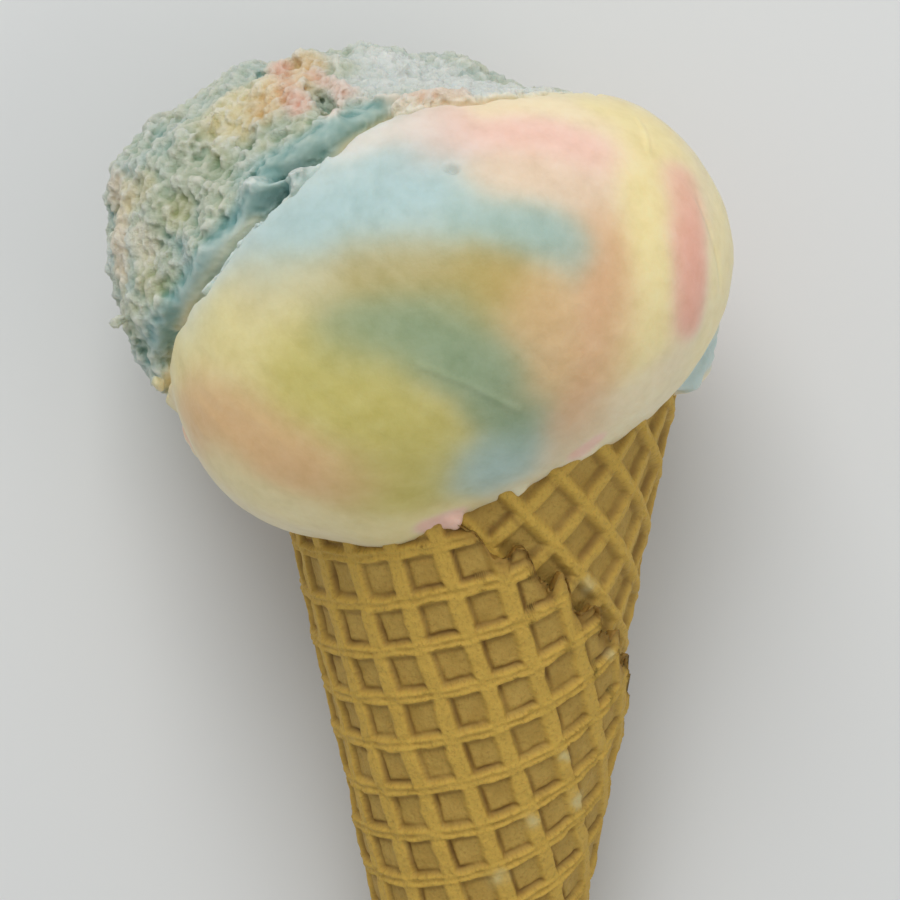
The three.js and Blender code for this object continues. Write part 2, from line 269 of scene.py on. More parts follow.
def wafer_tip(columns=72, rows=26):
    """The pressed tip, a ball that the rolled sheet runs out of."""
    radius = TIP_SLANT * math.tan(HALF_ANGLE)
    middle = TIP_SLANT / math.cos(HALF_ANGLE)
    turn = np.linspace(0, 360, columns, endpoint=False)
    lean = np.linspace(0.001, math.pi, rows)
    angle, tilt = [side.ravel() for side in np.meshgrid(turn, lean, indexing="ij")]
    out, along = radius * np.sin(tilt), middle - radius * np.cos(tilt)
    slant = along / math.cos(HALF_ANGLE)
    offset = (out - slant * math.sin(HALF_ANGLE)) / math.cos(HALF_ANGLE)
    points = cone_points(angle, slant, offset)
    points = points + 0.1 * noise(points, 1.1, 41)[:, None] * [0, 0, 1]
    return points, skin_faces(columns, rows, True)


def new_mesh_object(name, points, faces, caps=()):
    """A mesh object from points in millimetres."""
    mesh = bpy.data.meshes.new(name)
    mesh.from_pydata(points * MM, [], faces.tolist() + [list(cap) for cap in caps])
    mesh.validate()
    piece = bpy.data.objects.new(name, mesh)
    bpy.context.scene.collection.objects.link(piece)
    mesh.polygons.foreach_set("use_smooth", np.ones(len(mesh.polygons), bool))
    return piece


def keep_values(piece, name, values):
    """Stores one number, or one vector, for each point of the mesh, for its material to read."""
    wide = np.ndim(values) == 2
    layer = piece.data.attributes.new(name, "FLOAT_VECTOR" if wide else "FLOAT", "POINT")
    layer.data.foreach_set("vector" if wide else "value", np.asarray(values, np.float32).ravel())


def column_angles(first, last):
    """Column angles, closer together where the cone faces up."""
    angles = [first]
    while angles[-1] < last:
        facing_up = abs((angles[-1] + 180) % 360 - 180) < FACING_UP
        angles.append(angles[-1] + (FINE_STEP if facing_up else COARSE_STEP))
    return np.array(angles)


outer_turn = rolled_stretch(column_angles(SEAM_ANGLE, LAST_ANGLE), OUTER_ROWS)
inner_turn = rolled_stretch(column_angles(FIRST_ANGLE, SEAM_ANGLE + SEAM_OVERLAP), INNER_ROWS)
tip_points, tip_faces = wafer_tip()

wafer_points, wafer_faces, wafer_caps, wafer_values = [], [], [], []
count = 0
for points, faces, caps, *values in (outer_turn, inner_turn):
    faces = outward(points, faces)
    wafer_points.append(points)
    wafer_faces.append(faces + count)
    wafer_caps += [[corner + count for corner in cap] for cap in caps]
    wafer_values.append(values)
    count += len(points)
wafer_points.append(tip_points)
wafer_faces.append(outward(tip_points, tip_faces) + count)
level = np.ones(len(tip_points))
wafer_values.append((tip_points, 0.5 * level, 0.0 * level, 9.0 * level))

wafer_places = np.concatenate(wafer_points)
wafer_places[:, 2] = np.maximum(wafer_places[:, 2], LOWEST)
wafer = new_mesh_object("rolled_wafer", wafer_places, np.concatenate(wafer_faces), wafer_caps)

FLOUR_SPOTS = (          # where dry flour shows, seen from above, and how wide
    (18.6, -33.6, 0.8), (21.6, -41.6, 0.6), (16.1, -53.1, 0.6), (17.6, -58.5, 0.7), (12.4, -60.3, 0.8),
    (8.5, -67.1, 0.9), (-7.5, -72.0, 0.6), (4.5, -88.0, 0.7),
)
flour = np.zeros(len(wafer_places))
for x, y, width in FLOUR_SPOTS:
    away = np.hypot(wafer_places[:, 0] - x, wafer_places[:, 1] - y) + 0.5 * noise(wafer_places, 1.0, 45)
    flour = np.maximum(flour, 0.6 * np.exp(-(away / width) ** 2) * (wafer_places[:, 2] > 8))
for name, column in zip(("sheet", "crest", "crevice", "to_edge"), zip(*wafer_values)):
    keep_values(wafer, name, np.concatenate(column))
keep_values(wafer, "flour", flour)


def linear(code, alpha=1.0):
    """An sRGB hex colour as linear light."""
    channels = [int(code[i:i + 2], 16) / 255 for i in (1, 3, 5)]
    return [c / 12.92 if c <= 0.04045 else ((c + 0.055) / 1.055) ** 2.4 for c in channels] + [alpha]


def add(material, kind, settings=None, links=None):
    """Adds a node. settings name its properties and sockets, links feed sockets from others."""
    tree = material.node_tree
    node = tree.nodes.new(kind)
    for name, value in (settings or {}).items():
        if isinstance(name, str) and hasattr(node, name):
            setattr(node, name, value)
        else:
            node.inputs[name].default_value = value
    for name, source in (links or {}).items():
        tree.links.new(source, node.inputs[name])
    return node


def new_material(name):
    material = bpy.data.materials.new(name)
    material.use_nodes = True
    material.node_tree.nodes.clear()
    return material


# Baked wafer: sugar, flour and milk pressed dry in a hot iron. It is matt and a little gritty,
# paler on the pressed ridges and browner where the broken edge caught the heat.
# The pockets' crevices are painted darker brown as shade, with some browning.
BAKED_CLOUD = 4.545      # millimetres across a paler or browner cloud
BAKED_SPECK = 0.4545     # across a grain of the baked flour, drawn coarse enough to show
GRIT_HEIGHT = 0.25       # a little more than a real grain's, for the same reason
baked = new_material("baked_wafer")
sheet_place = add(baked, "ShaderNodeAttribute", {"attribute_name": "sheet"})
crest_height = add(baked, "ShaderNodeAttribute", {"attribute_name": "crest"})
edge_distance = add(baked, "ShaderNodeAttribute", {"attribute_name": "to_edge"})
mottle = add(baked, "ShaderNodeTexNoise", {"Scale": 1 / BAKED_CLOUD, "Detail": 4.0, "Roughness": 0.6},
             {"Vector": sheet_place.outputs["Vector"]})
speckle = add(baked, "ShaderNodeTexNoise", {"Scale": 1 / BAKED_SPECK, "Detail": 4.0, "Roughness": 0.75},
              {"Vector": sheet_place.outputs["Vector"]})
ground = add(baked, "ShaderNodeValToRGB", None, {"Fac": mottle.outputs["Fac"]})
ground.color_ramp.elements[0].position = 0.3
ground.color_ramp.elements[0].color = linear("#ac893e")
ground.color_ramp.elements[1].position = 0.7
ground.color_ramp.elements[1].color = linear("#bd9b4d")
on_ridges = add(baked, "ShaderNodeMix", {"data_type": "RGBA", "blend_type": "MIX", 7: linear("#caa447")},
                {0: crest_height.outputs["Fac"], 6: ground.outputs["Color"]})
speckled_part = add(baked, "ShaderNodeMapRange", {1: 0.5, 2: 0.72, 3: 0.0, 4: 0.6},
                    {0: speckle.outputs["Fac"]})
speckled = add(baked, "ShaderNodeMix", {"data_type": "RGBA", "blend_type": "MIX", 7: linear("#8f7030")},
               {0: speckled_part.outputs[0], 6: on_ridges.outputs[2]})
# Painted shade: the crevice values darken the pockets' corners brown, with some browning.
painted_crevice_shade_part = add(baked, "ShaderNodeAttribute", {"attribute_name": "crevice"})
painted_crevice_shade = add(baked, "ShaderNodeMix",
            {"data_type": "RGBA", "blend_type": "MIX", "clamp_factor": True, 7: linear("#7d5c26")},
            {0: painted_crevice_shade_part.outputs["Fac"], 6: speckled.outputs[2]})
browned_part = add(baked, "ShaderNodeMapRange", {1: 0.0, 2: 2.2, 3: 0.75, 4: 0.0},
                   {0: edge_distance.outputs["Fac"]})
browned = add(baked, "ShaderNodeMix", {"data_type": "RGBA", "blend_type": "MIX", 7: linear("#8d6a2e")},
              {0: browned_part.outputs[0], 6: painted_crevice_shade.outputs[2]})
flour_part = add(baked, "ShaderNodeAttribute", {"attribute_name": "flour"})
floured = add(baked, "ShaderNodeMix", {"data_type": "RGBA", "blend_type": "MIX", 7: linear("#d3c894")},
              {0: flour_part.outputs["Fac"], 6: browned.outputs[2]})
grit = add(baked, "ShaderNodeBump", {"Strength": 0.8, "Distance": GRIT_HEIGHT * MM},
           {"Height": speckle.outputs["Fac"]})
baked_surface = add(baked, "ShaderNodeBsdfPrincipled",
                    {"Roughness": 0.62, "Specular IOR Level": 0.35, "IOR": 1.45,
                     "Subsurface Weight": 0.06, "Subsurface Scale": 1.5 * MM},
                    {"Base Color": floured.outputs[2], "Normal": grit.outputs["Normal"]})
add(baked, "ShaderNodeOutputMaterial", None, {"Surface": baked_surface.outputs["BSDF"]})
wafer.data.materials.append(baked)

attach(wafer, "root")
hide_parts("wafer_cone")

# The scoop of ice cream
# One ball of frozen cream, dragged round by the scoop until its front is smooth and its far left
# side tore open. It is pressed into the wafer's mouth, and its three dyes are half stirred in.
BALL_MIDDLE = np.array([1.0, -6.0, 36.0])
BALL_LOBES = (           # middle, half length of each side, turn in degrees, fullness
    ((0.0, 0.0, 29.0), (28.5, 23.5, 29.8), 12, 2.1),
    ((4.3, -3.8, 36.0), (32.2, 21.6, 25.5), 26, 2.2),
    ((-3.1, -14.5, 41.0), (10.7, 14.4, 12.2), 4, 2.0),
    ((10.3, -0.3, 24.5), (23.5, 15.0, 24.0), 0, 2.2),
    ((-7.4, 4.8, 23.0), (29.1, 23.7, 21.6), 2.5, 2.2),
)
LOBE_BLEND = 0.9         # millimetres to the power of minus one: smaller runs the lobes together more
TORN_EDGE = (            # where the smooth front ends, seen from above
    (-30.0, -22.0), (-28.4, -10.5), (-26.5, -6.0), (-22.9, -2.0), (-20.3, 1.3), (-16.1, 5.3), (-11.9, 7.9),
    (-9.5, 11.6), (-7.3, 13.7), (-2.6, 16.6), (3.2, 17.8), (8.5, 18.4), (15.6, 19.6), (34.0, 22.0),
)
TEAR_PROFILE = (         # distance past the torn edge, height: the edge, a thin crack, the torn floor
    (-4.0, 0.0), (-1.0, 0.1), (-0.1, 0.0), (0.15, -2.6), (0.45, -2.4), (1.0, -0.4), (1.7, -0.5),
    (2.8, -1.1), (7.0, -1.0), (14.0, -0.6), (25.0, -0.3),
)
UPPER_GROOVE = ((-3.2, 18.5), (-6.2, 16.6), (-8.7, 14.9), (-11.6, 13.2), (-15.1, 11.7))
LOWER_GROOVE = ((-14.2, 9.8), (-17.2, 7.3), (-19.6, 4.8), (-22.0, 2.0), (-24.7, -0.9), (-26.9, -3.8),
                (-28.3, -6.4), (-29.4, -9.8))
UPPER_DEPTH = 4.3
LOWER_DEPTH = 4.5
LEDGE = ((-17.6, 10.4), (-15.2, 11.0), (-13.2, 10.9))
LUMP = ((-18.0, 20.0), (-15.0, 21.8), (-12.0, 22.0))
PINK_STRIPS = (((-10.7, 23.5), (-7.3, 21.4), (-2.5, 20.3)), ((-7.6, 20.8), (-8.3, 17.9)),
               ((-2.3, 19.1), (1.0, 19.8), (5.5, 20.0)))
CAVE = ((-10.0, 20.8), (-9.2, 19.0))
PALE_CROWN = ((-3.0, 23.5), (1.0, 22.9), (6.4, 21.7), (12.0, 20.5))
LIP = ((-16.9, 5.9), (-21.0, 2.2), (-23.8, -1.2), (-26.3, -4.8))
PLUG_SLANTS = (104.0, 132.0)       # the plug's two ends, from the cone's point
PLUG_CLEARANCE = 3.4     # from the rolled cone's face in to the plug
BALL_SUBDIVISIONS = 8
VOXEL = 0.26             # small enough for the finest crumbs
DRAG = np.array(Euler((0, 0, math.radians(-38))).to_matrix())      # the scoop's own way over the front


def turned(degrees):
    """The matrix of a turn about the upward axis."""
    side = math.radians(degrees)
    return np.array([[math.cos(side), -math.sin(side), 0], [math.sin(side), math.cos(side), 0], [0, 0, 1]])


def lobe_reach(directions, middle, half, turn, fullness):
    """How far out from the ball's middle each direction leaves the lobe."""
    spin = turned(turn)
    start = (BALL_MIDDLE - middle) @ spin / half
    step = directions @ spin / half
    inside, outside = np.zeros(len(directions)), np.full(len(directions), 80.0)
    for _ in range(20):
        trial = (inside + outside) / 2
        full = (np.abs(start + step * trial[:, None]) ** fullness).sum(1) < 1
        inside, outside = np.where(full, trial, inside), np.where(full, outside, trial)
    return inside


def crumbs(points, size, seed):
    """Rounded lumps with sharp creases, about -0.9 to 1.5. Taken away, they leave sharp flakes."""
    return 3.2 * np.abs(noise(points, size, seed)) - 0.85


def near_line(points, stops):
    """Distance from each point to a line through the given places."""
    best = np.full(len(points), 1e9)
    for start, end in zip(stops[:-1], stops[1:]):
        run = end - start
        part = np.clip((points - start) @ run / (run @ run), 0, 1)
        best = np.minimum(best, np.linalg.norm(points - start - part[:, None] * run, axis=1))
    return best


def tear_gap(points):
    """Distance from the torn edge, seen from above: more than zero on the torn side."""
    flat = points[:, :2]
    best, side = np.full(len(points), 1e9), np.ones(len(points))
    for start, end in zip(np.array(TORN_EDGE[:-1]), np.array(TORN_EDGE[1:])):
        run, away = end - start, flat - start
        part = np.clip(away @ run / (run @ run), 0, 1)
        gap = np.linalg.norm(away - part[:, None] * run, axis=1)
        closer = gap < best
        best = np.where(closer, gap, best)
        side = np.where(closer, np.sign(run[0] * away[:, 1] - run[1] * away[:, 0]), side)
    return best * side


def on_ball(points, stops):
    """The ball's highest points at places seen from above."""
    found = []
    for x, y in stops:
        gap = np.hypot(points[:, 0] - x, points[:, 1] - y)
        near = gap < max(0.5, gap.min() + 0.2)
        found.append((x, y, points[near, 2].max()))
    return np.array(found)


def line_share(points, stops, width):
    """1 along a line through places on the ball, fading to 0 beside it."""
    return np.exp(-(near_line(points, on_ball(points, stops)) / width) ** 2)


def ball_relief(points):
    """What the scoop and the tear did to the ball, in millimetres outwards, and where it is torn."""
    ragged = tear_gap(points) + 0.5 * noise(points, 4.0, 51) + 0.4 * noise(points, 1.6, 52)
    ragged = ragged + 0.25 * noise(points, 0.8, 58)
    level = np.interp(ragged, *zip(*TEAR_PROFILE))
    upper, lower = line_share(points, UPPER_GROOVE, 1.2), line_share(points, LOWER_GROOVE, 1.2)
    calm = np.maximum(line_share(points, UPPER_GROOVE, 2.4), line_share(points, LOWER_GROOVE, 2.3))
    calm = calm * (1 - line_share(points, LEDGE, 1.5))
    torn = rising(ragged, 0.2, 1.0)
    off_front = np.maximum(rising(ragged, 1.5, 4.5), line_share(points, LEDGE, 2.2))
    rough = torn * (0.2 + 0.8 * off_front) * (1 - 0.92 * calm)
    rough = rough * (1 - 0.55 * line_share(points, PALE_CROWN, 3.0))
    raised = 1.9 * line_share(points, LEDGE, 1.3) + 1.4 * line_share(points, LUMP, 3.4)
    raised = raised - 3.2 * line_share(points, CAVE, 0.9)
    for strip in PINK_STRIPS:
        raised += 1.2 * line_share(points, strip, 0.8)
    coarse = 1.3 * noise(points, 7.0, 53) + 0.8 * noise(points, 3.4, 54) + 0.2 * crumbs(points, 2.9, 55)
    small = 0.36 * noise(points, 1.6, 56) - 0.14 * crumbs(points, 1.3, 58)
    small = small - 0.9 * rising(noise(points, 2.6, 59), 0.3, 0.6)
    height = level + raised - UPPER_DEPTH * upper - LOWER_DEPTH * lower - 0.9 * calm
    height = height + 1.2 * line_share(points, LIP, 0.6)
    height = height + rough * (coarse + small)
    return height + 0.2 * noise(points, 11.0, 57) * (1 - torn), torn


def icosphere(subdivisions):
    form = bmesh.new()
    bmesh.ops.create_icosphere(form, subdivisions=subdivisions, radius=1)
    points = np.array([v.co for v in form.verts])
    faces = np.array([[v.index for v in face.verts] for face in form.faces])
    form.free()
    return points, faces


def blob(middle, half, turn, seed, ragged, subdivisions=4):
    """A loose bit of ice cream, with an uneven skin."""
    points, faces = icosphere(subdivisions)
    spin = turned(turn)
    size = min(half)
    placed = (points * half) @ spin.T + middle
    bump = noise(placed, 0.9 * size, seed) + 0.6 * noise(placed, 0.4 * size, seed + 1)
    return placed + points * (ragged * bump)[:, None], faces


def plug(columns=90):
    """The cream pushed down into the wafer's mouth, a blunt cone clear of the wafer all round."""
    turn = np.linspace(0, 360, columns, endpoint=False)
    deep, shallow = PLUG_SLANTS
    rings = []
    for slant, share in ((deep, 0.001), (deep, 1.0), (shallow, 1.0), (shallow, 0.001)):
        out = share * (slant * math.sin(HALF_ANGLE) - PLUG_CLEARANCE)
        offset = (out - slant * math.sin(HALF_ANGLE)) / math.cos(HALF_ANGLE)
        rings.append(cone_points(turn, np.full(columns, slant), offset))
    points = np.stack(rings, 1).reshape(-1, 3)
    return points, np.array(skin_faces(columns, len(rings), True))


def mesh_points(piece):
    flat = np.zeros(len(piece.data.vertices) * 3, np.float32)
    piece.data.vertices.foreach_get("co", flat)
    return flat.reshape(-1, 3).astype(float) / MM


def mesh_normals(piece):
    flat = np.zeros(len(piece.data.vertices) * 3, np.float32)
    piece.data.vertex_normals.foreach_get("vector", flat)
    return flat.reshape(-1, 3).astype(float)


def set_points(piece, points):
    piece.data.vertices.foreach_set("co", (points * MM).astype(np.float32).ravel())
    piece.data.update()


directions, ball_faces = icosphere(BALL_SUBDIVISIONS)
reaches = np.stack([lobe_reach(directions, *lobe) for lobe in BALL_LOBES], 1)
ball_reach = np.log(np.exp(LOBE_BLEND * (reaches - 30)).sum(1)) / LOBE_BLEND + 30
ball_points = BALL_MIDDLE + directions * ball_reach[:, None]
smooth_ball = new_mesh_object("smooth_ball", ball_points, ball_faces)
ball_heights, ball_torn = ball_relief(ball_points)
# On the torn side the relief leans upwards, so that the grooves open towards the eye.
lifts = mesh_normals(smooth_ball) + [0, 0, 0.8] * ball_torn[:, None] * rising(ball_points[:, 2:], 20, 34)
lifts = lifts / np.linalg.norm(lifts, axis=1)[:, None]
ball_points = ball_points + lifts * ball_heights[:, None]
bpy.data.objects.remove(smooth_ball)

BITS = (                 # middle, half length of each side, turn, seed, raggedness
    ((30.6, -8.6, 32.0), (2.3, 4.8, 4.5), -18, 67, 0.9),
    ((32.8, -5.2, 35.0), (0.9, 1.8, 1.2), -10, 87, 0.5),
    ((27.0, -11.6, 41.5), (0.7, 1.5, 1.6), -15, 69, 0.2),
    ((-28.9, -10.6, 33.0), (0.6, 1.0, 1.0), 20, 71, 0.3),
    ((-33.4, -3.6, 32.0), (1.2, 0.5, 0.5), 35, 73, 0.2),
    ((-25.0, -16.9, 34.5), (0.7, 2.1, 1.3), 25, 75, 0.4),
    ((3.8, -26.0, 46.6), (1.4, 0.9, 0.9), 10, 77, 0.4),
    ((1.8, -26.8, 46.3), (1.0, 0.6, 0.7), -20, 78, 0.3),
    ((18.4, -18.8, 45.8), (1.5, 0.7, 0.8), 40, 79, 0.3),
    ((11.0, -23.0, 46.5), (1.2, 0.6, 0.7), 25, 80, 0.3),
    ((22.6, -15.2, 46.5), (1.4, 0.7, 0.7), 38, 83, 0.3),
)
scoop_points, scoop_faces = [ball_points], [ball_faces]
count = len(ball_points)
for bit in BITS:
    points, faces = blob(*bit)
    scoop_points.append(points)
    scoop_faces.append(faces + count)
    count += len(points)

plug_points, plug_faces = plug()
plug_faces = outward(plug_points, plug_faces) + count
plug_faces = np.concatenate([plug_faces[:, [0, 1, 2]], plug_faces[:, [0, 2, 3]]])
scoop_points.append(plug_points)
scoop_faces.append(plug_faces)

# Voxels run the ball, the bits and the plug together into one skin.
rough_scoop = new_mesh_object("scoop_before_voxels", np.concatenate(scoop_points),
                              np.concatenate(scoop_faces))
remesh = rough_scoop.modifiers.new("voxels", "REMESH")
remesh.mode = "VOXEL"
remesh.voxel_size = VOXEL * MM
remesh.use_smooth_shade = True
evaluated = rough_scoop.evaluated_get(bpy.context.evaluated_depsgraph_get())
scoop_mesh = bpy.data.meshes.new_from_object(evaluated)
bpy.data.objects.remove(rough_scoop)
scoop_mesh.name = "scooped_ice_cream"
scoop = bpy.data.objects.new("scooped_ice_cream", scoop_mesh)
bpy.context.scene.collection.objects.link(scoop)


def smoothed(piece, points, share, rounds):
    """Moves each point towards its neighbours' middle by its share."""
    ends = np.zeros(len(piece.data.edges) * 2, np.int32)
    piece.data.edges.foreach_get("vertices", ends)
    a, b = ends.reshape(-1, 2).T
    counts = np.bincount(a, minlength=len(points)) + np.bincount(b, minlength=len(points))
    for _ in range(rounds):
        sums = [np.bincount(a, column[b], len(points)) + np.bincount(b, column[a], len(points))
                for column in points.T]
        points = points + share[:, None] * (np.stack(sums, 1) / counts[:, None] - points)
    return points


points = mesh_points(scoop)
tear_distance = tear_gap(points) + 0.5 * noise(points, 4.0, 51)
torn = rising(tear_distance, -0.3, 1.2)
pressed = 1 - rising(tear_distance, -0.7, 0.0)
points = smoothed(scoop, points, 0.6 * pressed + 0.06, 6)
set_points(scoop, points)
normals = mesh_normals(scoop)
calm_floor = np.maximum(line_share(points, UPPER_GROOVE, 2.2), line_share(points, LOWER_GROOVE, 2.4))
grains = crumbs(points, 0.85, 172)
fine = torn * (1 - 0.9 * calm_floor) * (0.34 * noise(points, 0.6, 171) - 0.17 * grains)
fine = fine + (1 - torn) * (0.05 * noise(points, 2.4, 173) + 0.02 * noise(points, 0.7, 174))
across_drag = points @ DRAG
fine = fine + (1 - torn) * 0.05 * noise(across_drag * [0.1, 1.0, 0.5], 1.1, 175)
pebbles = 0.09 * noise(across_drag * [0.8, 1.0, 0.8], 1.2, 176) + 0.05 * noise(points, 0.7, 177)
fine = fine + (1 - torn) * pebbles * line_share(points, ((14.0, -1.5), (16.0, -7.5)), 4.5)
MARKS = (                # height, half width, places: what the scoop left on the smooth front
    (-1.0, 0.5, ((4.0, 10.5), (4.5, 10.3))),
    (0.13, 0.35, ((0.8, -9.9), (5.8, -12.0), (10.9, -14.7))),
    (0.3, 0.35, ((24.2, 17.0), (24.9, 15.3), (25.1, 12.6))),
    (-0.25, 0.4, ((30.5, 7.5), (32.1, 3.4), (33.2, -1.7))),
    (-0.25, 0.35, ((5.6, -23.2), (6.1, -23.0))),
    (-0.4, 0.25, ((0.8, -23.4), (0.9, -23.4))),
    (-0.07, 0.5, ((-5.7, 12.8), (-6.0, 8.3), (-6.2, 4.1))),
    (-0.05, 0.4, ((-3.0, 13.5), (-3.6, 9.5), (-3.8, 7.5))),
)
for height, width, stops in MARKS:
    fine = fine + height * line_share(points, stops, width)
points = points + normals * fine[:, None]
points[:, 2] = np.maximum(points[:, 2], 0)       # pressed flat where it lies on the table
set_points(scoop, points)
normals = mesh_normals(scoop)
# How far each point stands out of the smoothed skin, and with minus how far it lies in a pit.
standing = ((points - smoothed(scoop, points, np.full(len(points), 0.8), 30)) * normals).sum(1)

FRONT_STREAKS = (        # dyes (pink, yellow, blue), half width, places on the ball seen from above
    ((0.60, 0.10, 0.02), 3.4, ((2.5, 15.0), (8.0, 14.9), (14.0, 14.3), (19.0, 13.0))),
    ((0.03, 0.72, 0.0), 3.4, ((24.5, 15.5), (25.5, 10.0), (24.3, 3.0), (24.3, -4.0), (23.0, -9.5))),
    ((0.85, 0.15, 0.02), 1.8, ((28.5, 9.0), (29.8, 2.1), (29.0, -5.2))),
    ((0.02, 0.62, 0.0), 2.6, ((33.0, 7.0), (34.0, 0.0), (32.0, -7.5))),
    ((0.66, 0.62, 0.22), 2.6, ((19.6, 3.0), (19.9, -1.0), (20.0, -6.0), (19.0, -12.0), (16.5, -15.0))),
    ((0.0, 0.05, 0.80), 4.6, ((-1.0, 12.0), (1.0, 6.5), (-6.0, 6.5), (-14.0, 2.8))),
    ((0.28, 0.12, 0.10), 1.8, ((-6.5, 13.8), (-3.0, 15.0), (0.0, 15.8))),
    ((0.0, 0.04, 0.60), 3.4, ((-9.0, 12.4), (-12.5, 8.6), (-16.6, 4.8), (-21.0, 0.8), (-23.0, -1.8))),
    ((0.06, 0.26, 0.92), 2.4, ((6.0, 4.2), (11.0, 3.2), (15.8, 2.4))),
    ((0.36, 0.34, 0.16), 2.6, ((9.0, 9.5), (15.0, 8.0), (19.0, 7.0))),
    ((0.08, 0.55, 0.0), 1.8, ((8.0, 17.8), (15.0, 17.2), (21.0, 15.0))),
    ((0.22, 0.72, 0.34), 2.8, ((-16.0, -2.0), (-9.0, -0.6))),
    ((0.44, 1.00, 0.58), 2.9, ((-5.0, 0.9), (2.0, 0.8), (9.0, -1.4))),
    ((0.50, 0.70, 0.25), 3.0, ((13.0, -3.6), (15.0, -10.0))),
    ((0.22, 0.70, 1.0), 3.3, ((-6.5, -5.2), (-2.0, -5.4), (4.0, -6.6), (9.0, -10.0), (11.0, -16.0))),
    ((0.10, 1.0, 0.44), 4.8, ((-10.0, -9.5), (-5.0, -12.5), (-1.0, -17.0), (-3.0, -23.0))),
    ((0.0, 0.78, 0.16), 3.8, ((-25.0, -6.5), (-18.0, -5.5), (-13.0, -4.0))),
    ((0.52, 0.70, 0.15), 3.6, ((-22.0, -13.2), (-15.5, -18.0), (-8.6, -21.4))),
    ((0.0, 0.20, 0.80), 3.0, ((6.0, -20.5), (12.0, -18.0))),
    ((0.30, 0.50, 0.18), 2.4, ((15.5, -17.5), (19.0, -14.5))),
    ((0.05, 0.64, 0.08), 2.6, ((-19.0, -20.5), (-14.0, -24.0), (-6.0, -26.5), (2.0, -26.5))),
    ((0.14, 0.42, 0.10), 2.0, ((22.0, -13.0), (26.0, -10.5))),
)
BIT_STREAKS = (          # the same for the loose bits and the drips
    ((0.0, 0.10, 0.65), 1.8, ((31.0, -11.4), (33.0, -9.0), (34.5, -6.5))),
    ((0.65, 0.10, 0.05), 0.9, ((1.4, -26.9), (4.6, -26.2))),
    ((0.55, 0.30, 0.05), 0.8, ((-26.0, -16.1), (-25.1, -18.1), (-24.2, -20.2))),
    ((0.10, 0.55, 0.15), 0.8, ((-29.4, -10.0), (-29.0, -11.4))),
    ((0.60, 0.15, 0.05), 0.8, ((17.6, -19.4), (19.4, -18.2))),
)
TORN_STREAKS = (         # the same for the torn side
    ((0.02, 0.56, 0.10), 2.0, ((-20.0, 18.2), (-19.4, 20.4), (-17.8, 21.6))),
    ((0.36, 0.68, 0.02), 2.2, ((-16.4, 20.4), (-14.2, 22.4), (-12.4, 24.2))),
    ((0.70, 0.20, 0.02), 1.0, ((-14.4, 24.6), (-13.3, 20.6), (-12.1, 19.4))),
    ((0.60, 0.14, 0.0), 0.9, PINK_STRIPS[0]),
    ((0.60, 0.14, 0.0), 0.8, PINK_STRIPS[1]),
    ((0.50, 0.30, 0.0), 0.9, PINK_STRIPS[2]),
    ((0.15, 0.30, 0.05), 1.1, ((-2.7, 17.7), (1.1, 18.2), (4.9, 18.8))),
    ((0.0, 0.50, 0.60), 1.2, ((-7.8, 23.9), (-6.8, 24.1))),
    ((0.05, 0.65, 0.55), 1.1, ((-25.6, 8.4), (-25.9, 8.0))),
    ((0.05, 0.60, 0.40), 1.1, ((-30.3, 10.7), (-30.0, 11.2))),
    ((0.02, 0.36, 0.20), 1.2, ((-29.9, 4.2), (-30.4, 5.5))),
    ((0.05, 0.60, 0.55), 1.1, ((-29.9, 0.2), (-30.2, 0.8))),
    ((0.08, 0.55, 0.20), 1.4, ((-33.5, 9.2), (-32.8, 10.4))),
    ((0.16, 0.34, 0.12), 1.4, ((-33.9, 11.3), (-33.7, 6.6), (-33.4, 3.1))),
    ((0.02, 0.45, 0.62), 1.6, ((-25.0, 13.0), (-22.5, 10.1))),
    ((0.0, 0.14, 0.85), 1.8, LEDGE),
    ((0.0, 0.0, 0.30), 4.0, PALE_CROWN),
    ((0.0, 0.25, 1.0), 1.8, UPPER_GROOVE),
    ((0.0, 0.18, 1.0), 1.5, LOWER_GROOVE),
    ((0.02, 0.52, 0.05), 0.8, LIP),
)


def stirred(points, base, streaks, spread):
    """The share of each dye: a streak keeps its own colour near its line, and neighbours run together.

    spread widens every streak.
    """
    weights = np.full(len(points), 0.06)
    total = weights[:, None] * base
    for amounts, width, stops in streaks:
        share = line_share(points, stops, spread * width)
        weights = weights + share
        total = total + share[:, None] * amounts
    return total / weights[:, None]


warp = [1.3 * noise(points, 12.0, 81 + side) + 0.5 * noise(points, 4.0, 84 + side) for side in range(3)]
warp = np.stack(warp, 1)
swirled = points + warp
# Low on the ball, where no streak is known, broad clouds of pink and blue take over.
hidden = rising(points[:, 2], 36, 22)
wild = np.stack([noise(swirled * [1, 1, 0.6], 15.0, 91 + dye) for dye in range(3)], 1)
unseen = np.stack([0.8 * np.clip(wild[:, 0], 0, 1), 0.4 * wild[:, 1], 0.8 * np.clip(-wild[:, 0], 0, 1)], 1)
front_base = [0.10, 0.50, 0.12] + hidden[:, None] * unseen
torn_base = np.stack([0.10 * rising(noise(points, 6.0, 94), 0.4, 0.8),
                      0.37 + 0.2 * noise(points, 5.0, 95) + 0.15 * noise(points, 1.8, 98),
                      0.63 + 0.15 * noise(points, 6.0, 96) + 0.15 * noise(points, 1.6, 97)], 1)
front_dyes = stirred(swirled, front_base, FRONT_STREAKS, 1.12)
torn_dyes = stirred(points + 0.25 * warp, torn_base, TORN_STREAKS, 1.0)
# Painted shade on the torn side: the dye is thickened in pits and thinned on crests, so pits are painted
# darker and crests paler, with some dye really gathering in the pits. What lies deep in the grooves is
# darkened further below.
torn_dyes = torn_dyes * np.clip(0.88 - 0.9 * standing, 0.42, 1.35)[:, None]
dyes = stirred(points, front_dyes * (1 - torn[:, None]) + torn_dyes * torn[:, None], BIT_STREAKS, 1.0)
dyes = np.clip(dyes, 0, 1)
